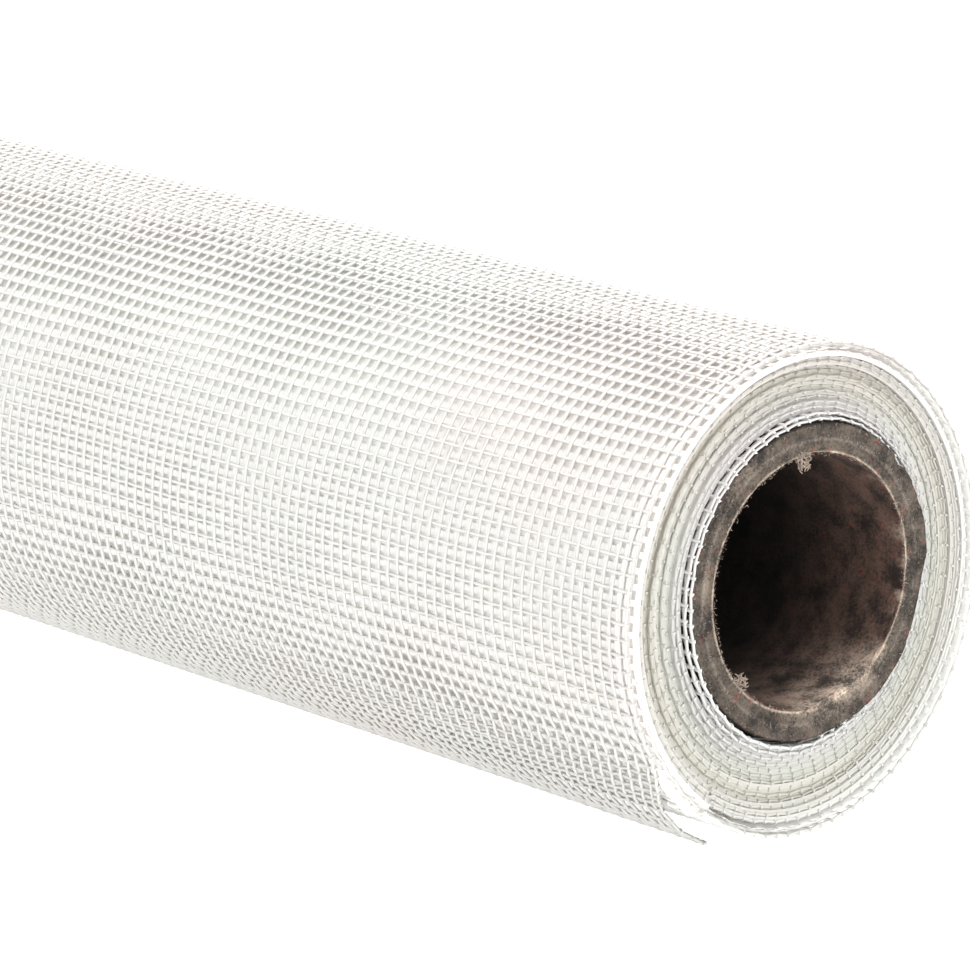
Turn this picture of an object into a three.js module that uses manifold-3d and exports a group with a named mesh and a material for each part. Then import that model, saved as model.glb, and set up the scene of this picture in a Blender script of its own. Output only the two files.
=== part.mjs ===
// A small roll of white fiberglass insect screening on a cardboard core, lying on its side.
// +X runs along the roll and out of the end with the loose corner, and +Z is up.
// The origin is under the middle of the roll, on the surface that it lies on. Millimetres.
import * as THREE from "three";
import { mergeVertices } from "three/addons/utils/BufferGeometryUtils.js";
import Module from "manifold-3d";

// Wound cloth: each turn has slipped a little along the core, listed from the core outwards
const clothWidth = 609.6;
const turnPitch = 0.555;
const turnSlips = [
  1.2, 1.1, -0.1, -0.4, -0.9, -0.7, -1, -0.8, -0.6, -0.9, -1.03, -0.2, -0.4, 0.5, 0.9, 0,
];
const outerTurnLean = 1.5;

// Cardboard core, a little short of the cloth. The loose turns have let it ride up and back
const coreBore = 25.4;
const coreWall = 3;
const coreInset = 0.4;
const coreClearance = 0.3;
const coreRise = 0.9;
const coreSetBack = 0.4;

// Loose corner: the end of the outermost turn, which has come off the roll at one end
const cornerRootAngle = THREE.MathUtils.degToRad(35);
const cornerReach = 8.8;
const cornerSkew = 5.5;
const cornerPeelLength = 120;
const cornerThickness = 0.45;
const cornerRoot = 3;
const cornerSunk = 0.15;

// Fineness of the round surfaces
const facets = 48;
const cornerRows = 4;
const cornerColumns = 8;

const coreRadius = coreBore / 2 + coreWall;
const coreLength = clothWidth - 2 * coreInset;
const windingRadius = coreRadius + coreClearance;
const rollRadius = windingRadius + turnSlips.length * turnPitch;
const toFlats = 1 / Math.cos(Math.PI / facets);

// A profile of [radius, x] points that closes on itself, turned about the X axis.
// The flats of the faceted surface lie at the profile's radius, and one of them is at the bottom.
function turned(profile) {
  const points = profile.map(([radius, x]) => new THREE.Vector2(radius * toFlats, x));
  points.push(points[0].clone());
  const geometry = new THREE.LatheGeometry(points, facets, Math.PI / facets);
  geometry.rotateZ(-Math.PI / 2);
  return geometry;
}

// Moves every vertex of a geometry to what place(vertex) makes of it.
function reshape(geometry, place) {
  const at = geometry.getAttribute("position");
  const vertex = new THREE.Vector3();
  for (let i = 0; i < at.count; i += 1) {
    place(vertex.fromBufferAttribute(at, i));
    at.setXYZ(i, vertex.x, vertex.y, vertex.z);
  }
  return geometry;
}

function coreGeometry() {
  const geometry = turned([
    [coreBore / 2, -coreLength / 2],
    [coreRadius, -coreLength / 2],
    [coreRadius, coreLength / 2],
    [coreBore / 2, coreLength / 2],
  ]);
  geometry.translate(0, coreSetBack, rollRadius + coreRise);
  return geometry;
}

// The wound turns: a tube whose ends show each turn's slip. Outer turns lean more, so that
// their front stands further out, and lie lower on the core than the tight inner ones.
function windingGeometry() {
  const farEnd = [];
  const nearEnd = [];
  turnSlips.forEach((slip, turn) => {
    const inner = windingRadius + turn * turnPitch;
    const outer = inner + turnPitch;
    farEnd.push([inner, slip - clothWidth / 2], [outer, slip - clothWidth / 2]);
    nearEnd.unshift([outer, slip + clothWidth / 2], [inner, slip + clothWidth / 2]);
  });
  return reshape(turned([...farEnd, ...nearEnd]), (vertex) => {
    const radius = Math.hypot(vertex.y, vertex.z) / toFlats;
    const looseness = (radius - windingRadius) / (rollRadius - windingRadius);
    vertex.x -= (outerTurnLean * vertex.y) / rollRadius;
    vertex.y += coreSetBack * (1 - looseness);
    vertex.z += rollRadius + coreRise * (1 - looseness);
  });
}

// The loose corner: a strip bent into place. At the corner it runs straight from its root on
// the roll to the surface below, and further along the roll it lies just under the skin.
function cornerGeometry() {
  const root = [-rollRadius * Math.sin(cornerRootAngle), -rollRadius * Math.cos(cornerRootAngle)];
  const freeLength = Math.hypot(-cornerReach - root[0], -rollRadius - root[1]);
  const run = [(-cornerReach - root[0]) / freeLength, (-rollRadius - root[1]) / freeLength];
  const length = cornerRoot + freeLength;
  const nearEdge = clothWidth / 2 + turnSlips[turnSlips.length - 1] + outerTurnLean / 2;
  const strip = new THREE.BoxGeometry(
    cornerPeelLength, length, cornerThickness, cornerColumns, cornerRows, 1,
  );
  strip.translate(-cornerPeelLength / 2, length / 2 - cornerRoot, -cornerThickness / 2);
  return reshape(strip, (vertex) => {
    const { x: along, y: down, z: out } = vertex;
    const angle = cornerRootAngle - down / rollRadius;
    const radius = rollRadius - cornerSunk + out;
    const tight = [-radius * Math.sin(angle), -radius * Math.cos(angle)];
    const free = Math.max(down, 0);
    const loose = [root[0] + run[0] * free + run[1] * out, root[1] + run[1] * free - run[0] * out];
    const off = down < 0 ? 0 : 1 + along / cornerPeelLength;
    vertex.x = nearEdge + along - cornerSkew * (free / freeLength);
    vertex.y = THREE.MathUtils.lerp(tight[0], loose[0], off);
    vertex.z = THREE.MathUtils.lerp(tight[1], loose[1], off) + rollRadius;
  });
}

const wasm = await Module();
wasm.setup();

function solid(geometry) {
  const bare = geometry.clone();
  bare.deleteAttribute("normal");
  bare.deleteAttribute("uv");
  const merged = mergeVertices(bare, 1e-4);
  return new wasm.Manifold(
    new wasm.Mesh({
      numProp: 3,
      vertProperties: merged.getAttribute("position").array,
      triVerts: new Uint32Array(merged.index.array),
    }),
  );
}

function geometryOf(manifold) {
  const { vertProperties, triVerts } = manifold.getMesh();
  const geometry = new THREE.BufferGeometry();
  geometry.setAttribute("position", new THREE.BufferAttribute(vertProperties, 3));
  geometry.setIndex(new THREE.BufferAttribute(triVerts, 1));
  geometry.computeVertexNormals();
  return geometry;
}

function coreTube() {
  const cardboard = new THREE.MeshStandardMaterial({ color: 0x8d7b6c, roughness: 0.95, metalness: 0 });
  const mesh = new THREE.Mesh(coreGeometry(), cardboard);
  mesh.name = "core_tube";
  return mesh;
}

function screenRoll() {
  const cloth = new THREE.MeshStandardMaterial({ color: 0xf1f1ec, roughness: 0.6, metalness: 0 });
  const joined = solid(windingGeometry()).add(solid(cornerGeometry()));
  const mesh = new THREE.Mesh(geometryOf(joined), cloth);
  mesh.name = "screen_roll";
  return mesh;
}

const roll = new THREE.Group();
roll.add(coreTube(), screenRoll());

export default roll;
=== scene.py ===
import math

import bpy
import numpy as np
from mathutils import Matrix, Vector


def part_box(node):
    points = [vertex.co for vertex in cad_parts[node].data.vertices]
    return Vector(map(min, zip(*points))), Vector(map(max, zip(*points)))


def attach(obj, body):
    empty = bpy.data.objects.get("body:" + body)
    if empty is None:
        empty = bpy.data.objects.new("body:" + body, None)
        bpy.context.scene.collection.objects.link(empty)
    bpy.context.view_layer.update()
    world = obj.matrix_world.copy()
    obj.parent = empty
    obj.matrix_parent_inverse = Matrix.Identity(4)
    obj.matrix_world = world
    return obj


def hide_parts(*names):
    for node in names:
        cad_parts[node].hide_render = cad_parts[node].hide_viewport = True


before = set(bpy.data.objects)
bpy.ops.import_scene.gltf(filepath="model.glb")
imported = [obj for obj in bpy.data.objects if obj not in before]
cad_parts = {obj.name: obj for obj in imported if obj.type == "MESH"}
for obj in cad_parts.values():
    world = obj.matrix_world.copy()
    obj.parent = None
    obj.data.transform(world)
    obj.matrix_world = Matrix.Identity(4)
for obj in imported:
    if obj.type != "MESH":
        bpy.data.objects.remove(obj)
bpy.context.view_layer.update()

# The camera stands near the roll's open end, a little above it, and looks down along it.
# A long lens from three quarters of a metre gives the photograph's slight convergence.
CORE_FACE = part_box("core_tube")[1][0]
CAMERA_PLACE = (CORE_FACE + 0.5324, -0.5053, 0.2164)
CAMERA_LOOK = (-0.7320, 0.6379, -0.2395)
camera_data = bpy.data.cameras.new("camera")
camera_data.sensor_width = 36
camera_data.lens = 290.9
camera_data.clip_start = 0.01
camera_data.clip_end = 20
camera = bpy.data.objects.new("camera", camera_data)
camera.location = CAMERA_PLACE
camera.rotation_mode = "QUATERNION"
camera.rotation_quaternion = Vector(CAMERA_LOOK).to_track_quat("-Z", "Y")
bpy.context.scene.collection.objects.link(camera)
bpy.context.scene.camera = camera

# The screen cloth, as it comes off the loom: 18 warp yarns to the inch run along the cloth and
# 16 weft yarns to the inch run across it, each passing over and under the others. The yarns
# are glass fibre in a white vinyl coat, which also welds them where they cross.
WARP_PITCH = 0.001411
WEFT_PITCH = 0.0015845
WARPS = 432
YARNS = (0.00042, 0.00042)
CRIMP = 0.00007
FRINGE = 0.0003


def link_up(tree, kind, settings=(), inputs=()):
    """A new node; inputs are values, or (node, output) pairs to link from."""
    made = tree.nodes.new(kind)
    for name, value in dict(settings).items():
        setattr(made, name, value)
    for name, value in dict(inputs).items():
        if isinstance(value, tuple) and isinstance(value[0], bpy.types.Node):
            tree.links.new(value[0].outputs[value[1]], made.inputs[name])
        else:
            made.inputs[name].default_value = value
    return made


def yarn_tree(name, sides):
    """Flat woven yarns: warps step along X and run along Y, wefts step along Y and run along X."""
    tree = bpy.data.node_groups.new(name, "GeometryNodeTree")
    for label, kind in (
        ("Warps", "NodeSocketInt"), ("Wefts", "NodeSocketInt"),
        ("Warp Pitch", "NodeSocketFloat"), ("Weft Pitch", "NodeSocketFloat"),
        ("Warp Yarn", "NodeSocketFloat"), ("Weft Yarn", "NodeSocketFloat"), ("Crimp", "NodeSocketFloat"),
        ("Warp Ends", "NodeSocketFloat"), ("Weft Ends", "NodeSocketFloat"),
        ("Material", "NodeSocketMaterial"),
    ):
        tree.interface.new_socket(name=label, in_out="INPUT", socket_type=kind)
    tree.interface.new_socket(name="Geometry", in_out="OUTPUT", socket_type="NodeSocketGeometry")
    given = tree.nodes.new("NodeGroupInput")

    def maths(operation, *values):
        return (link_up(tree, "ShaderNodeMath", {"operation": operation}, enumerate(values)), 0)

    def vector(x=0.0, y=0.0, z=0.0):
        return (link_up(tree, "ShaderNodeCombineXYZ", (), enumerate((x, y, z))), 0)

    joined = tree.nodes.new("GeometryNodeJoinGeometry")
    for across, along, ends, over in (
        ("Warp", "Weft", "Warp Ends", 1.0),
        ("Weft", "Warp", "Weft Ends", -1.0),
    ):
        half = maths("MULTIPLY", (given, across + " Yarn"), 0.5)
        if sides:
            profile = link_up(tree, "GeometryNodeCurvePrimitiveCircle", (), {
                "Resolution": sides, "Radius": half,
            })
        else:
            left = vector(maths("MULTIPLY", half, -1.0))
            profile = link_up(tree, "GeometryNodeCurvePrimitiveLine", (), {
                "Start": left, "End": vector(half),
            })
        pitch = (given, along + " Pitch")
        step = (given, across + " Pitch")
        axis = ("y", "x") if across == "Warp" else ("x", "y")
        line = link_up(tree, "GeometryNodeMeshLine", {"mode": "OFFSET"}, {
            "Count": maths("ADD", (given, along + "s"), 2.0),
            "Start Location": vector(**{axis[0]: maths("MULTIPLY", pitch, -1.0)}),
            "Offset": vector(**{axis[0]: pitch}),
        })
        places = link_up(tree, "GeometryNodeMeshLine", {"mode": "OFFSET"}, {
            "Count": (given, across + "s"),
            "Offset": vector(**{axis[1]: step}),
        })
        copies = link_up(tree, "GeometryNodeInstanceOnPoints", (), {
            "Points": (places, "Mesh"), "Instance": (line, "Mesh"),
        })
        real = link_up(tree, "GeometryNodeRealizeInstances", (), {"Geometry": (copies, "Instances")})
        position = tree.nodes.new("GeometryNodeInputPosition")
        at = link_up(tree, "ShaderNodeSeparateXYZ", (), {0: (position, 0)})
        row = maths("ROUND", maths("DIVIDE", (at, 0), (given, "Warp Pitch")))
        column = maths("ROUND", maths("DIVIDE", (at, 1), (given, "Weft Pitch")))
        odd = maths("FLOORED_MODULO", maths("ADD", row, column), 2.0)
        side = maths("SUBTRACT", maths("MULTIPLY", odd, 2.0), 1.0)
        height = maths("MULTIPLY", side, maths("MULTIPLY", (given, "Crimp"), over))
        last = maths("MULTIPLY", maths("SUBTRACT", (given, along + "s"), 1.0), pitch)
        run = (at, 1 if across == "Warp" else 0)
        started = maths("MAXIMUM", run, maths("MULTIPLY", (given, ends), -1.0))
        kept = maths("MINIMUM", started, maths("ADD", last, (given, ends)))
        place = vector((at, 0), kept, height) if across == "Warp" else vector(kept, (at, 1), height)
        moved = link_up(tree, "GeometryNodeSetPosition", (), {
            "Geometry": (real, "Geometry"), "Position": place,
        })
        curve = link_up(tree, "GeometryNodeMeshToCurve", (), {"Mesh": (moved, "Geometry")})
        upright = link_up(tree, "GeometryNodeSetCurveNormal", {"mode": "Z_UP"}, {
            "Curve": (curve, "Curve"),
        })
        swept = link_up(tree, "GeometryNodeCurveToMesh", (), {
            "Curve": (upright, "Curve"), "Profile Curve": (profile, "Curve"), "Fill Caps": bool(sides),
        })
        tree.links.new(swept.outputs[0], joined.inputs[0])
    smooth = link_up(tree, "GeometryNodeSetShadeSmooth", (), {"Geometry": (joined, 0)})
    realized = link_up(tree, "GeometryNodeRealizeInstances", (), {"Geometry": (smooth, 0)})
    finish = link_up(tree, "GeometryNodeSetMaterial", (), {
        "Geometry": (realized, 0), "Material": (given, "Material"),
    })
    link_up(tree, "NodeGroupOutput", (), {0: (finish, 0)})
    return tree


round_yarns = yarn_tree("round yarns", 3)
flat_yarns = yarn_tree("flat yarns", 0)


def made_by(tree, name, values):
    """The plain mesh that a tree makes from these values for its named inputs."""
    maker = bpy.data.objects.new(name, bpy.data.meshes.new(name + "_start"))
    bpy.context.scene.collection.objects.link(maker)
    modifier = maker.modifiers.new("maker", "NODES")
    modifier.node_group = tree
    for item in tree.interface.items_tree:
        if item.in_out == "INPUT":
            modifier[item.identifier] = values[item.name]
    depsgraph = bpy.context.evaluated_depsgraph_get()
    mesh = bpy.data.meshes.new_from_object(maker.evaluated_get(depsgraph))
    start = maker.data
    maker.modifiers.clear()
    maker.data = mesh
    mesh.name = name
    bpy.data.meshes.remove(start)
    return maker


def woven(name, tree, warps, wefts, warp_ends, weft_ends, wide, material):
    """The flat mesh of so many yarns, with its first crossing at the origin."""
    return made_by(tree, name, {
        "Warps": warps, "Wefts": wefts, "Warp Pitch": WARP_PITCH, "Weft Pitch": WEFT_PITCH,
        "Warp Yarn": wide[0], "Weft Yarn": wide[1], "Crimp": CRIMP,
        "Warp Ends": warp_ends, "Weft Ends": weft_ends,
        "Material": material,
    })


# The white vinyl coat of the yarns: satin and faintly warm, cloudy pink to green along the
# cloth. The tints by depth also hold painted light and shade: the turns just under the
# outermost are painted lighter than it, painted light against the shade they lie in, and
# the turns that show only at the ends are painted darker and olive, a painted shade between
# the turns, lighter again at the open innermost turns. The first number of each tint is the
# depth in the winding, 0 on the outermost turn and 1 at the core.
CLOTH_TONES_AND_PAINTED_SHADE = (
    (0.000, (0.67, 0.655, 0.635)), (0.060, (0.67, 0.655, 0.635)), (0.064, (0.97, 0.96, 0.945)),
    (0.122, (0.97, 0.96, 0.945)), (0.127, (0.96, 0.95, 0.935)), (0.140, (0.96, 0.95, 0.935)),
    (0.175, (0.68, 0.665, 0.645)), (0.210, (0.62, 0.605, 0.585)), (0.250, (0.60, 0.585, 0.545)),
    (0.320, (0.61, 0.590, 0.560)), (0.420, (0.53, 0.515, 0.455)), (0.500, (0.60, 0.58, 0.540)),
    (0.600, (0.56, 0.555, 0.51)), (0.720, (0.60, 0.590, 0.565)), (0.850, (0.64, 0.625, 0.62)),
    (1.000, (0.85, 0.84, 0.83)),
)
CLOUD_TINTS = ((0.42, (0.985, 1.0, 0.985)), (0.58, (1.0, 0.98, 0.97)))
CLOUD_SCALE = 22.0


def fill_ramp(ramp, stops):
    """Gives a colour ramp these stops, each a position and a colour."""
    elements = ramp.color_ramp.elements
    for element, (position, colour) in zip(elements, (stops[0], stops[-1])):
        element.position = position
        element.color = (*colour, 1)
    for position, colour in stops[1:-1]:
        elements.new(position).color = (*colour, 1)


def cloth_shader(name, roughness):
    """A material whose colour follows the depth attribute, with painted light and shade by depth and
    cloudy tints over it.
    """
    material = bpy.data.materials.new(name)
    material.use_nodes = True
    tree = material.node_tree
    shader = tree.nodes["Principled BSDF"]
    shader.inputs["Roughness"].default_value = roughness
    depth = link_up(tree, "ShaderNodeAttribute", {"attribute_name": "depth"})
    ramp = link_up(tree, "ShaderNodeValToRGB", (), {"Fac": (depth, "Fac")})
    # The ramp by depth paints light and shade into the colour: lighter under-turns, darker olive deep
    # turns.
    fill_ramp(ramp, CLOTH_TONES_AND_PAINTED_SHADE)
    place = tree.nodes.new("ShaderNodeTexCoord")
    cloud = link_up(tree, "ShaderNodeTexNoise", (), {
        "Vector": (place, "Object"), "Scale": CLOUD_SCALE, "Detail": 2.0,
    })
    tint = link_up(tree, "ShaderNodeValToRGB", (), {"Fac": (cloud, "Fac")})
    fill_ramp(tint, CLOUD_TINTS)
    mixed = link_up(tree, "ShaderNodeMix", {"data_type": "RGBA", "blend_type": "MULTIPLY"}, {
        "Factor": 1.0, 6: (ramp, "Color"), 7: (tint, "Color"),
    })
    return material, shader, mixed


vinyl, vinyl_shader, vinyl_colour = cloth_shader("vinyl_yarn", 0.42)
vinyl.node_tree.links.new(vinyl_colour.outputs[2], vinyl_shader.inputs["Base Color"])

# The winding: sixteen turns on the core, from the loose edge at the front, over the top and
# round. Each turn is slipped a little along the core, the looser turns lie lower on it, and
# at the near end the loose edge has come away. Nothing but its own tightness holds it.
PITCH = 0.000555
CLOTH = 0.00052
TURNS = 16
# How far each turn has slipped, outermost first, reached SLIP_PLACE of the way into it
SLIPS = (
    0.0004, 0.0009, 0.00045, -0.0004, -0.0002, -0.00103, -0.0009, -0.0006,
    -0.0008, -0.0010, -0.0007, -0.0009, -0.0004, -0.0003, 0.00035, 0.00045,
)
SLIP_PLACE = 0.3
roll_low, roll_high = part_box("screen_roll")
core_low, core_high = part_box("core_tube")
ROLL_RADIUS = (roll_high.z - roll_low.z) / 2
CORE_RADIUS = (core_high.z - core_low.z) / 2
CORE_CENTRE = ((core_low.y + core_high.y) / 2, (core_low.z + core_high.z) / 2)
INNER_RADIUS = ROLL_RADIUS - PITCH * TURNS
LEAN = 0.0015
# The free edge: where it leaves the roll, and how far it stands off, bends and is drawn back
ROOT_ANGLE = math.radians(35)
CORNER_REACH = 0.0088
CORNER_PULL = 0.0059
PULL_ARC = 0.0104
PULL_FADE = 1.3
CORNER_TURN = 0.0009
CORNER_BULGE = 0.0006
PEEL_LENGTH = 0.120
# The cloth's own faults: selvedge warps set close, and yarns that stray in long slow waves
HALF_CLOTH = (WARPS - 1) / 2 * WARP_PITCH
SELVEDGE_STEP = 0.0009
WANDER = 0.00011
WANDER_WAVES = ((0.083, 0.3), (0.047, 1.9), (0.029, 0.8), (0.019, 2.6))


def wander(along, down, phase):
    """How far the yarns stray from true at a place on the flat cloth."""
    total = 0
    for number, (length, slope) in enumerate(WANDER_WAVES):
        run = along * math.cos(slope + phase) + down * math.sin(slope + phase)
        total = total + np.sin(2 * math.pi * run / length + 1.7 * number + phase)
    return WANDER / 2 * total


def turn_at(down):
    """Turns wound outside the cloth that lies so far back from the loose edge's root."""
    radius = np.sqrt(ROLL_RADIUS**2 - PITCH * np.maximum(down, 0) / math.pi)
    return (ROLL_RADIUS - radius) / PITCH + np.minimum(down, 0) / (2 * math.pi * ROLL_RADIUS)


def down_at(turn):
    """How far back from the root the cloth is that has so many turns outside it."""
    radius = ROLL_RADIUS - PITCH * turn
    return (ROLL_RADIUS**2 - radius**2) * math.pi / PITCH


def seated(along, turn, radius, y, z):
    """Shifts a point of the true spiral as its turn has slipped, leant and dropped."""
    tight = np.clip((ROLL_RADIUS - radius) / (ROLL_RADIUS - INNER_RADIUS), 0, 1)
    slip = np.interp(turn, np.arange(TURNS) + SLIP_PLACE, SLIPS)
    x = along + slip - LEAN * y / ROLL_RADIUS
    return x, y + CORE_CENTRE[0] * tight, z + ROLL_RADIUS + (CORE_CENTRE[1] - ROLL_RADIUS) * tight


def peeled(along, down, out, y, z):
    """Takes the free edge at the near end off the roll, straight from its root to the ground."""
    root = np.array([-math.sin(ROOT_ANGLE), -math.cos(ROOT_ANGLE)]) * (ROLL_RADIUS - CLOTH / 2)
    tip = np.array([-CORNER_REACH, -ROLL_RADIUS + CLOTH / 2])
    free_length = np.linalg.norm(tip - root)
    run = (tip - root) / free_length
    free = np.maximum(-down, 0)
    share = free / free_length
    near = np.clip(1 + (along - HALF_CLOTH) / PEEL_LENGTH, 0, 1)
    loose = near * (free > 0)
    bulge = CORNER_BULGE * 4 * share * np.maximum(1 - share, 0) + out
    y = y + loose * (root[0] + run[0] * free + run[1] * bulge - y)
    z = z + loose * (root[1] + run[1] * free - run[0] * bulge - z)
    pull = CORNER_PULL * np.clip(1 - np.maximum(down, 0) / PULL_ARC, 0, 1) ** PULL_FADE
    return along - (pull - CORNER_TURN * share) * near, y, z


def wind(flat):
    """Flat cloth (along the roll, back from the root, out of the cloth) wound onto the core."""
    along, down, out = flat.T
    along, down = along + wander(along, down, 0.0), down + wander(along, down, 1.1)
    beyond = np.maximum(np.abs(along) - HALF_CLOTH + WARP_PITCH, 0)
    along = along - np.sign(along) * np.minimum(beyond, WARP_PITCH) * (1 - SELVEDGE_STEP / WARP_PITCH)
    turn = turn_at(down)
    angle = ROOT_ANGLE + 2 * math.pi * turn
    radius = ROLL_RADIUS - PITCH * np.maximum(turn, 0) - CLOTH / 2 + out
    along, y, z = peeled(along, down, out, -radius * np.sin(angle), -radius * np.cos(angle))
    return np.stack(seated(along, turn, radius, y, z), axis=1), turn / TURNS


def lay(piece, first_warp, first_down, stretch=1.0):
    """Moves a flat woven piece to its place on the cloth and winds it on."""
    points = np.empty(len(piece.data.vertices) * 3)
    piece.data.vertices.foreach_get("co", points)
    points = points.reshape(-1, 3) * [1, stretch, 1]
    points = points + [first_warp * WARP_PITCH - HALF_CLOTH, first_down, 0]
    wound, depth = wind(points)
    piece.data.vertices.foreach_set("co", wound.ravel())
    piece.data.attributes.new("depth", "FLOAT", "POINT").data.foreach_set("value", depth)
    piece.data.update()
    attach(piece, "root")


# The outermost turn is the only one seen whole. Its free edge, a few wefts long, stands ahead
# of the root. It is woven in three stretches along the roll, which meet between two warps.
FREE_LENGTH = 0.0071
OUTER_WEFTS = int((down_at(1) + FREE_LENGTH) / WEFT_PITCH) + 1
first_down = -FREE_LENGTH + FRINGE
THIRD = WARPS // 3
for number, part in enumerate(("far", "middle", "near")):
    piece = woven(
        "outer_turn_" + part, round_yarns, THIRD, OUTER_WEFTS, FRINGE,
        FRINGE if part != "middle" else WARP_PITCH / 2, YARNS, vinyl,
    )
    lay(piece, number * THIRD, first_down)

# The next turn has nested into the outer one: its yarns lie beside the outer ones and spread
# flat under them, so that only a small hole of each cell stays open.
NESTED_YARNS = (0.00048, 0.00066)
NESTED_SHIFT = 0.00054
FREE_WEFTS = 5
SECOND_WEFTS = OUTER_WEFTS - FREE_WEFTS
nesting = (down_at(2) - down_at(1)) / down_at(1)
second_down = down_at(1) + (first_down + FREE_WEFTS * WEFT_PITCH) * nesting + NESTED_SHIFT
second = woven("second_turn", flat_yarns, WARPS, SECOND_WEFTS, 0.0, 0.0, NESTED_YARNS, vinyl)
lay(second, 0, second_down, nesting)

# The turns below show only their selvedges at the two ends of the roll: three warps, with the
# ends of the wefts standing out past the last of them.
END_WARPS = 3
third_down = second_down + SECOND_WEFTS * WEFT_PITCH * nesting
end_wefts = int((down_at(TURNS - 0.1) - third_down) / WEFT_PITCH)
for part, first in (("far", 0), ("near", WARPS - END_WARPS)):
    piece = woven("end_turns_" + part, round_yarns, END_WARPS, end_wefts, 0.0, FRINGE, YARNS, vinyl)
    lay(piece, first, third_down)

# Behind those selvedges the turns press into one another, so from the third turn in the
# cloth is one wound body, with the weave of its topmost turn under the open outer ones. A
# collar of it fills the edge under the outer two, and the innermost turns stand open.
SELVEDGE_STAND = 0.0005
COLLAR_TURN = 0.62
COLLAR_START = 0.0027
COLLAR_END = 0.0011
DEEP_STAND = 0.0034
BODY_STEPS = 180
BODY_SINK = 0.00012
ROW_MARGIN = 0.0001
# At the ends the pressed body takes at least this depth of the tint ramp, which paints its shallow turns
# there a darker shade, a painted shade under the open outer turns.
END_SHADE_DEPTH = 0.158
WEAVE_SLANT = 0.35
rows = [
    (2, 0, HALF_CLOTH - COLLAR_START), (COLLAR_TURN, 0, HALF_CLOTH - COLLAR_START),
    (COLLAR_TURN, 0, HALF_CLOTH - COLLAR_END), (2, 0, HALF_CLOTH - COLLAR_END),
]
for turn in range(2, TURNS):
    stand = DEEP_STAND if turn >= TURNS - 2 else SELVEDGE_STAND
    for inward in (0, 1):
        rows.append((turn, inward, HALF_CLOTH - stand))
rows = rows + [(turn, inward, -along) for turn, inward, along in reversed(rows)]
vertices = []
depths = []
for step in range(BODY_STEPS):
    part = step / BODY_STEPS
    angle = ROOT_ANGLE + 2 * math.pi * part
    for turn, inward, along in rows:
        radius = max(ROLL_RADIUS - PITCH * (turn + part + inward) - BODY_SINK, INNER_RADIUS)
        y, z = -radius * math.sin(angle), -radius * math.cos(angle)
        vertices.append(seated(along, turn + part, radius, y, z))
        # Painted shade: at the ends the shallow turns take the darker end tint.
        at_end = abs(along) > HALF_CLOTH - COLLAR_START + ROW_MARGIN
        depths.append(max((turn + part) / TURNS, END_SHADE_DEPTH * at_end))
faces = []
weave = []
for step in range(BODY_STEPS):
    for row in range(len(rows)):
        corners = [(step, row), (step, row + 1), (step + 1, row + 1), (step + 1, row)]
        face = []
        for corner_step, corner_row in corners:
            face.append(corner_step % BODY_STEPS * len(rows) + corner_row % len(rows))
            turn, inward, along = rows[corner_row % len(rows)]
            row_down = down_at(turn + corner_step / BODY_STEPS)
            slanted = along + WEAVE_SLANT * inward * PITCH
            weave.append((slanted / WARP_PITCH, row_down / WEFT_PITCH))
        faces.append(face)
body_mesh = bpy.data.meshes.new("winding_body")
body_mesh.from_pydata(vertices, [], faces)
body_mesh.attributes.new("depth", "FLOAT", "POINT").data.foreach_set("value", depths)
uv = body_mesh.uv_layers.new(name="weave")
uv.data.foreach_set("uv", np.array(weave).ravel())
body_mesh.shade_flat()
body = bpy.data.objects.new("winding_body", body_mesh)
bpy.context.scene.collection.objects.link(body)

pressed, pressed_shader, pressed_colour = cloth_shader("pressed_turns", 0.6)
tree = pressed.node_tree
uv_node = link_up(tree, "ShaderNodeUVMap", {"uv_map": "weave"})
split = link_up(tree, "ShaderNodeSeparateXYZ", (), {0: (uv_node, 0)})


def ridge(value, wide):
    """1 along the middle of a yarn and 0 in the gaps, for a coordinate counted in yarns."""
    off = link_up(tree, "ShaderNodeMath", {"operation": "PINGPONG"}, {0: value, 1: 0.5})
    made = link_up(tree, "ShaderNodeMapRange", {"interpolation_type": "SMOOTHSTEP"}, {
        "Value": (off, 0), "From Min": 0.5 - wide, "From Max": 0.5 - wide / 2,
    })
    return (made, 0)


yarns = link_up(tree, "ShaderNodeMath", {"operation": "MAXIMUM"}, {
    0: ridge((split, 0), 0.30), 1: ridge((split, 1), 0.26),
})
# The gaps between the yarns are painted a little darker, a painted shade in the holes of the weave.
painted_gap_shade = link_up(tree, "ShaderNodeValToRGB", (), {"Fac": (yarns, 0)})
fill_ramp(painted_gap_shade, ((0, (0.92, 0.915, 0.90)), (1, (1, 1, 1))))
shade = link_up(tree, "ShaderNodeMix", {"data_type": "RGBA", "blend_type": "MULTIPLY"}, {
    "Factor": 1.0, 6: (pressed_colour, 2), 7: (painted_gap_shade, "Color"),
})
tree.links.new(shade.outputs[2], pressed_shader.inputs["Base Color"])
bump = link_up(tree, "ShaderNodeBump", (), {"Height": (yarns, 0), "Distance": 0.0001, "Strength": 0.4})
tree.links.new(bump.outputs["Normal"], pressed_shader.inputs["Normal"])
body_mesh.materials.append(pressed)
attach(body, "root")
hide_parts("screen_roll")

# The core is a spiral-wound cardboard tube, sawn off square. The cut has left its face
# furry, its rims frayed and its innermost ply torn, and the cloth starts on bare paper.
BORE_RADIUS = 0.0127
CORE_STEPS = 288
RIM_REACH = 0.0008
RIM_ROUGHNESS = (0.00018, 0.00025)
EDGE_ROUGHNESS = 0.00022
FACE_ROUGHNESS = (0.00016, 0.0001)
# Dents in the outer edge: where round it, how wide in degrees, how deep
DENTS = ((345, 13, 0.0007), (41, 2.5, 0.0006))
# The torn ply: where round the bore, how wide in degrees, how thick
TORN_ANGLE = 291
TORN_WIDTH = 20
TORN_DEPTH = 0.0004
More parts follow.
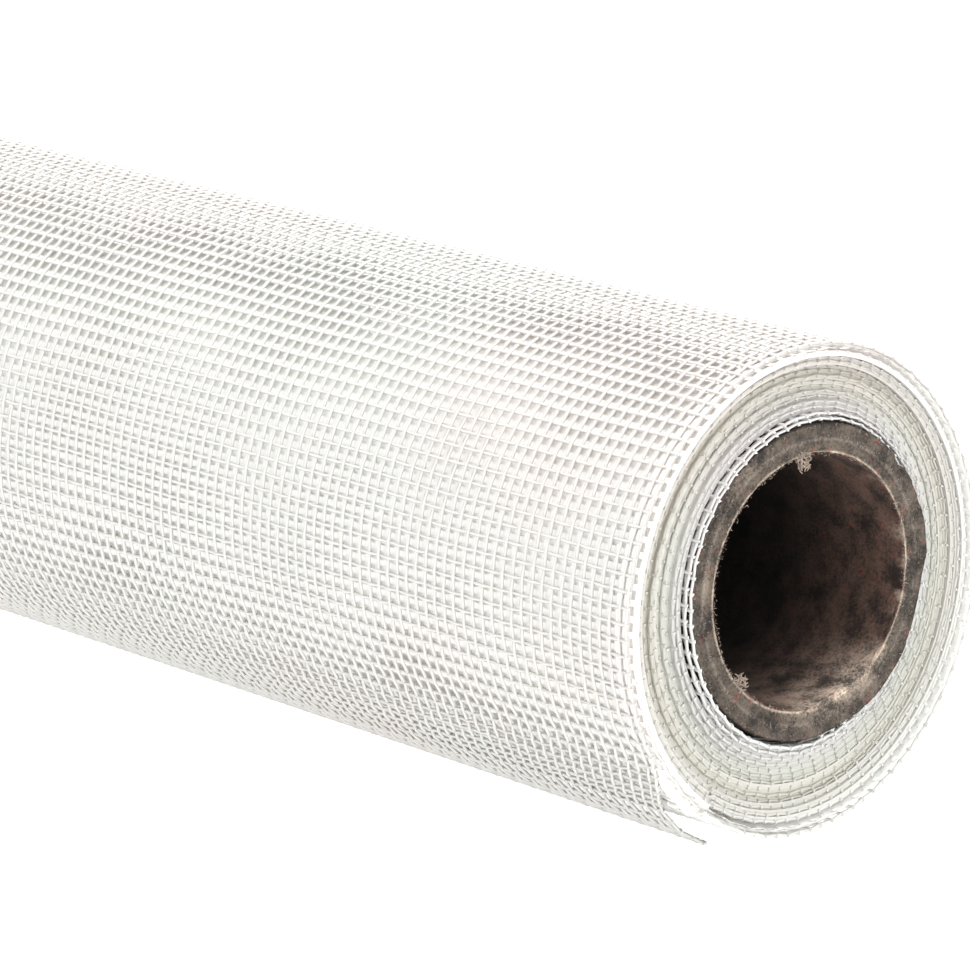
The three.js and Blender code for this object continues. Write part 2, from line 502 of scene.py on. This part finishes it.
# Bare spots on the face: where round it, how wide in degrees, at what radius and how broad
BARE_SPOTS = ((126, 9, 0.0150, 0.0006), (169, 11, 0.0139, 0.0004))
rng = np.random.default_rng(11)
face_radii = [
    BORE_RADIUS, 0.01285, 0.01305, 0.0133, 0.0137, 0.0141, 0.0145, 0.0149, 0.0153, 0.01555,
    CORE_RADIUS,
]
wall_depths = [0.0002, 0.0006, 0.0013, 0.003, 0.007, 0.02, 0.08, 0.2]
near_wall = [(BORE_RADIUS, CORE_FACE - inward) for inward in reversed(wall_depths)]
near_face = [(face_radius, CORE_FACE) for face_radius in face_radii]
near_skin = [(CORE_RADIUS, CORE_FACE - inward) for inward in (0.0003, 0.002, 0.02)]
near_half = near_wall + near_face + near_skin
core_loop = near_half + [(out, -along) for out, along in reversed(near_half)]


def fuzz(rows, steps, grain):
    """Seeded random numbers round the tube, smoothed over so many steps."""
    noise = rng.standard_normal((rows, steps))
    for _ in range(grain):
        noise = (noise + np.roll(noise, 1, axis=1) + np.roll(noise, -1, axis=1)) / 3
    return noise / np.abs(noise).max()


def swell(middle, wide):
    """1 at an angle in degrees round the tube, fading away over a width in degrees."""
    return np.exp(-((angles - math.radians(middle)) / math.radians(wide)) ** 2)


loop = np.array(core_loop)
angles = np.linspace(0, 2 * math.pi, CORE_STEPS, endpoint=False)
fine = fuzz(len(loop), CORE_STEPS, 1)
coarse = fuzz(1, CORE_STEPS, 12)
ends = np.sign(loop[:, 1])
inset = np.abs(loop[:, 1]) - CORE_FACE
at_rim = np.exp(inset / RIM_REACH) * np.exp(-(loop[:, 0] - BORE_RADIUS) / 0.0004)
at_edge = np.exp(inset / RIM_REACH) * np.exp((loop[:, 0] - CORE_RADIUS) / 0.0004)
on_face = np.exp(inset / 0.0004)
rim_noise = RIM_ROUGHNESS[0] * fine + RIM_ROUGHNESS[1] * coarse
face_noise = FACE_ROUGHNESS[0] * fine + FACE_ROUGHNESS[1] * (coarse - 1)
radius = loop[:, 0][:, None] + at_rim[:, None] * rim_noise
radius = radius - at_edge[:, None] * np.abs(EDGE_ROUGHNESS * fine)
for middle, wide, deep in DENTS:
    radius = radius - (at_edge * (ends > 0))[:, None] * swell(middle, wide) * deep
x = loop[:, 1][:, None] + (ends * on_face)[:, None] * face_noise
off_torn = np.abs(angles - math.radians(TORN_ANGLE)) / math.radians(TORN_WIDTH)
near_rim = np.exp(inset / 0.0030) * np.exp(-(loop[:, 0] - BORE_RADIUS) / 0.0006) * (ends > 0)
torn = np.clip(1.7 - off_torn, 0, 1) * (0.8 + 0.2 * fine) * near_rim[:, None]
radius = radius - TORN_DEPTH * torn
points = np.stack([
    x, radius * np.cos(angles) + CORE_CENTRE[0], radius * np.sin(angles) + CORE_CENTRE[1],
], axis=-1)
count = len(loop)
core_faces = []
for row in range(count):
    for step in range(CORE_STEPS):
        after = (step + 1) % CORE_STEPS
        below = (row + 1) % count
        core_faces.append((
            row * CORE_STEPS + step, below * CORE_STEPS + step,
            below * CORE_STEPS + after, row * CORE_STEPS + after,
        ))
core_mesh = bpy.data.meshes.new("core")
core_mesh.from_pydata(points.reshape(-1, 3).tolist(), [], core_faces)
fur = np.clip(torn * 1.6, 0, 1)
for middle, wide, ring_radius, ring_wide in BARE_SPOTS:
    over_it = np.exp(-((loop[:, 0] - ring_radius) / ring_wide) ** 2) * on_face * (ends > 0)
    fur = np.maximum(fur, 0.2 * swell(middle, wide) * over_it[:, None])
core_mesh.attributes.new("torn", "FLOAT", "POINT").data.foreach_set("value", fur.ravel())
core_mesh.shade_smooth()
core = bpy.data.objects.new("core", core_mesh)
bpy.context.scene.collection.objects.link(core)

board = bpy.data.materials.new("core_board")
board.use_nodes = True
tree = board.node_tree
board_shader = tree.nodes["Principled BSDF"]
board_shader.inputs["Roughness"].default_value = 0.9
place = tree.nodes.new("ShaderNodeTexCoord")
centred = link_up(tree, "ShaderNodeMapping", (), {"Vector": (place, "Object")})
centred.inputs["Location"].default_value = (0, -CORE_CENTRE[0], -CORE_CENTRE[1])
at = link_up(tree, "ShaderNodeSeparateXYZ", (), {0: (centred, 0)})
across = link_up(tree, "ShaderNodeCombineXYZ", (), {1: (at, 1), 2: (at, 2)})
span = link_up(tree, "ShaderNodeVectorMath", {"operation": "LENGTH"}, {0: (across, 0)})
depth = link_up(tree, "ShaderNodeMapRange", (), {
    "Value": (span, "Value"), "From Min": BORE_RADIUS - 0.0004, "From Max": CORE_RADIUS + 0.0002,
})
plies_and_skin_shade = link_up(tree, "ShaderNodeValToRGB", (), {"Fac": (depth, 0)})
# The paper's ply colours from the bore out to the skin; from 0.88 outward the colour falls to near black,
# a painted shade on the outer skin where it lies under the cloth.
ply_tones_and_skin_shade = (
    (0.00, (0.075, 0.042, 0.031)), (0.115, (0.085, 0.05, 0.037)), (0.145, (0.42, 0.34, 0.27)),
    (0.20, (0.082, 0.065, 0.049)), (0.42, (0.072, 0.057, 0.044)), (0.50, (0.115, 0.096, 0.077)),
    (0.58, (0.067, 0.054, 0.042)), (0.88, (0.072, 0.056, 0.043)), (0.96, (0.02, 0.016, 0.013)),
)
fill_ramp(plies_and_skin_shade, ply_tones_and_skin_shade)
grain = link_up(tree, "ShaderNodeTexNoise", (), {
    "Vector": (place, "Object"), "Scale": 3300.0, "Detail": 4.0, "Roughness": 0.75,
})
blotch = link_up(tree, "ShaderNodeTexNoise", (), {
    "Vector": (place, "Object"), "Scale": 420.0, "Detail": 4.0,
})
spots = link_up(tree, "ShaderNodeMath", {"operation": "MULTIPLY"}, {0: (grain, "Fac"), 1: (blotch, "Fac")})
torn_mark = link_up(tree, "ShaderNodeAttribute", {"attribute_name": "torn"})
paper = link_up(tree, "ShaderNodeMix", {"data_type": "RGBA"}, {
    "Factor": (torn_mark, "Fac"), 6: (plies_and_skin_shade, "Color"), 7: (0.50, 0.40, 0.32, 1),
})
# Painted shade in the bore: the paper darkens with depth in from either cut face, to 0.12 of its colour 20
# mm in.
inside = link_up(tree, "ShaderNodeMath", {"operation": "ABSOLUTE"}, {0: (at, 0)})
painted_bore_shade = link_up(tree, "ShaderNodeMapRange", {"interpolation_type": "SMOOTHSTEP"}, {
    "Value": (inside, 0), "From Min": CORE_FACE - 0.020, "From Max": CORE_FACE - 0.001,
    "To Min": 0.12, "To Max": 1.0,
})
flecks = link_up(tree, "ShaderNodeTexNoise", (), {
    "Vector": (place, "Object"), "Scale": 900.0, "Detail": 2.0,
})
red = link_up(tree, "ShaderNodeMapRange", (), {
    "Value": (flecks, "Fac"), "From Min": 0.62, "From Max": 0.70, "To Max": 0.55,
})
light = link_up(tree, "ShaderNodeMapRange", (), {
    "Value": (spots, 0), "From Min": 0.16, "From Max": 0.34, "To Min": 0.2, "To Max": 1.9,
})
reddened = link_up(tree, "ShaderNodeMix", {"data_type": "RGBA"}, {
    "Factor": (red, 0), 6: (paper, 2), 7: (0.16, 0.045, 0.035, 1),
})
# The grain's lighter and darker spots, times the painted bore shade.
grain_and_bore_shade = link_up(tree, "ShaderNodeMath", {"operation": "MULTIPLY"}, {0: (light, 0), 1: (painted_bore_shade, 0)})
shaded = link_up(tree, "ShaderNodeVectorMath", {"operation": "SCALE"}, {
    0: (reddened, 2), "Scale": (grain_and_bore_shade, 0),
})
tree.links.new(shaded.outputs[0], board_shader.inputs["Base Color"])
bump = link_up(tree, "ShaderNodeBump", (), {"Height": (spots, 0), "Distance": 0.0004, "Strength": 0.8})
tree.links.new(bump.outputs["Normal"], board_shader.inputs["Normal"])
core_mesh.materials.append(board)
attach(core, "root")

# The saw has pulled hairs of paper out of the board. They stand round both rims and on the
# face, and two tufts of them hang into the bore.


def fibre_tree():
    """Short hairs of paper round a rim, turned and sized at random from a fixed seed."""
    tree = bpy.data.node_groups.new("paper fibres", "GeometryNodeTree")
    for label, kind in (
        ("Rim", "NodeSocketFloat"), ("Count", "NodeSocketInt"), ("Hair", "NodeSocketFloat"),
        ("Thickness", "NodeSocketFloat"), ("Seed", "NodeSocketInt"), ("Material", "NodeSocketMaterial"),
    ):
        tree.interface.new_socket(name=label, in_out="INPUT", socket_type=kind)
    tree.interface.new_socket(name="Geometry", in_out="OUTPUT", socket_type="NodeSocketGeometry")
    given = tree.nodes.new("NodeGroupInput")
    rim = link_up(tree, "GeometryNodeMeshCircle", (), {
        "Vertices": (given, "Count"), "Radius": (given, "Rim"),
    })
    end = link_up(tree, "ShaderNodeCombineXYZ", (), {2: (given, "Hair")})
    half = link_up(tree, "ShaderNodeMath", {"operation": "MULTIPLY"}, {0: (given, "Hair"), 1: 0.5})
    bend = link_up(tree, "ShaderNodeCombineXYZ", (), {0: (half, 0), 2: (half, 0)})
    hair = link_up(tree, "GeometryNodeCurveQuadraticBezier", (), {
        "Resolution": 4, "Start": (0, 0, 0), "Middle": (bend, 0), "End": (end, 0),
    })
    ring = link_up(tree, "GeometryNodeCurvePrimitiveCircle", (), {
        "Resolution": 3, "Radius": (given, "Thickness"),
    })
    swept = link_up(tree, "GeometryNodeCurveToMesh", (), {
        "Curve": (hair, 0), "Profile Curve": (ring, 0), "Fill Caps": True,
    })
    turns = link_up(tree, "FunctionNodeRandomValue", {"data_type": "FLOAT_VECTOR"}, {
        "Seed": (given, "Seed"), "Min": (-3.2, -3.2, -3.2), "Max": (3.2, 3.2, 3.2),
    })
    sizes = link_up(tree, "FunctionNodeRandomValue", {"data_type": "FLOAT"}, {
        "Seed": (given, "Seed"), 2: 0.3, 3: 1.5,
    })
    copies = link_up(tree, "GeometryNodeInstanceOnPoints", (), {
        "Points": (rim, 0), "Instance": (swept, 0), "Rotation": (turns, 0), "Scale": (sizes, 1),
    })
    strays = link_up(tree, "FunctionNodeRandomValue", {"data_type": "FLOAT_VECTOR"}, {
        "Seed": (given, "Seed"), "Min": (-0.00025, -0.00025, -0.0003), "Max": (0.00025, 0.00025, 0.0001),
    })
    moved = link_up(tree, "GeometryNodeTranslateInstances", (), {
        "Instances": (copies, 0), "Translation": (strays, 0),
    })
    real = link_up(tree, "GeometryNodeRealizeInstances", (), {"Geometry": (moved, 0)})
    finish = link_up(tree, "GeometryNodeSetMaterial", (), {
        "Geometry": (real, 0), "Material": (given, "Material"),
    })
    link_up(tree, "NodeGroupOutput", (), {0: (finish, 0)})
    return tree


paper_fibre = bpy.data.materials.new("paper_fibre")
paper_fibre.use_nodes = True
fibre_shader = paper_fibre.node_tree.nodes["Principled BSDF"]
fibre_shader.inputs["Base Color"].default_value = (0.42, 0.34, 0.28, 1)
fibre_shader.inputs["Roughness"].default_value = 0.95
fibres = fibre_tree()
TUFT_ANGLES = {"fray_top": math.radians(95), "fray_low": math.radians(222)}
TUFT_RADIUS = BORE_RADIUS - 0.0003
HAIR_SLIMNESS = 12
for part, rim, hairs, long, seed in (
    ("inner", BORE_RADIUS + 0.0001, 800, 0.00022, 3),
    ("face", 0.0143, 500, 0.00016, 5),
    ("outer", CORE_RADIUS - 0.0002, 300, 0.0002, 9),
    ("fray_top", 0.0006, 90, 0.0006, 12),
    ("fray_low", 0.0004, 60, 0.0006, 14),
):
    for side, sign in (("near", 1), ("far", -1)):
        tufts = made_by(fibres, "fibres_" + part + "_" + side, {
            "Rim": rim, "Count": hairs, "Hair": long, "Thickness": long / HAIR_SLIMNESS,
            "Seed": seed, "Material": paper_fibre,
        })
        tuft_y = tuft_z = 0
        if part in TUFT_ANGLES:
            tuft_y = TUFT_RADIUS * math.cos(TUFT_ANGLES[part])
            tuft_z = TUFT_RADIUS * math.sin(TUFT_ANGLES[part])
        for vertex in tufts.data.vertices:
            flat_x, flat_y, flat_z = vertex.co
            vertex.co = (
                sign * (CORE_FACE + flat_z), flat_x + tuft_y + CORE_CENTRE[0],
                sign * flat_y + tuft_z + CORE_CENTRE[1],
            )
        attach(tufts, "root")
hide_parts("core_tube")

# The floor is a plain white table that gives a little light of its own, as in a product
# picture. Soft light comes from all round, and from one large lamp overhead.
FLOOR_REACH = 6
LAMP_PLACE = (0.4, 0.2, 1.4)
LAMP_AIM = (0.2, 0, 0)
floor_mesh = bpy.data.meshes.new("floor")
floor_corners = [(-FLOOR_REACH, -FLOOR_REACH, 0), (FLOOR_REACH, -FLOOR_REACH, 0)]
floor_corners += [(FLOOR_REACH, FLOOR_REACH, 0), (-FLOOR_REACH, FLOOR_REACH, 0)]
floor_mesh.from_pydata(floor_corners, [], [(0, 1, 2, 3)])
floor = bpy.data.objects.new("floor", floor_mesh)
bpy.context.scene.collection.objects.link(floor)
floor_material = bpy.data.materials.new("floor_white")
floor_material.use_nodes = True
floor_shader = floor_material.node_tree.nodes["Principled BSDF"]
floor_shader.inputs["Base Color"].default_value = (0.6, 0.6, 0.6, 1)
floor_shader.inputs["Roughness"].default_value = 0.9
floor_shader.inputs["Emission Color"].default_value = (1, 1, 1, 1)
floor_shader.inputs["Emission Strength"].default_value = 0.85
floor_mesh.materials.append(floor_material)

world = bpy.data.worlds.new("studio")
world.use_nodes = True
world.node_tree.nodes["Background"].inputs["Color"].default_value = (1, 1, 1, 1)
world.node_tree.nodes["Background"].inputs["Strength"].default_value = 1.42
bpy.context.scene.world = world
lamp_data = bpy.data.lights.new("overhead", "AREA")
lamp_data.shape = "RECTANGLE"
lamp_data.size = 1.6
lamp_data.size_y = 1.2
lamp_data.energy = 11
lamp = bpy.data.objects.new("overhead", lamp_data)
lamp.location = LAMP_PLACE
lamp.rotation_mode = "QUATERNION"
lamp.rotation_quaternion = (Vector(LAMP_AIM) - lamp.location).to_track_quat("-Z", "Y")
bpy.context.scene.collection.objects.link(lamp)
bpy.context.scene.view_settings.view_transform = "Standard"
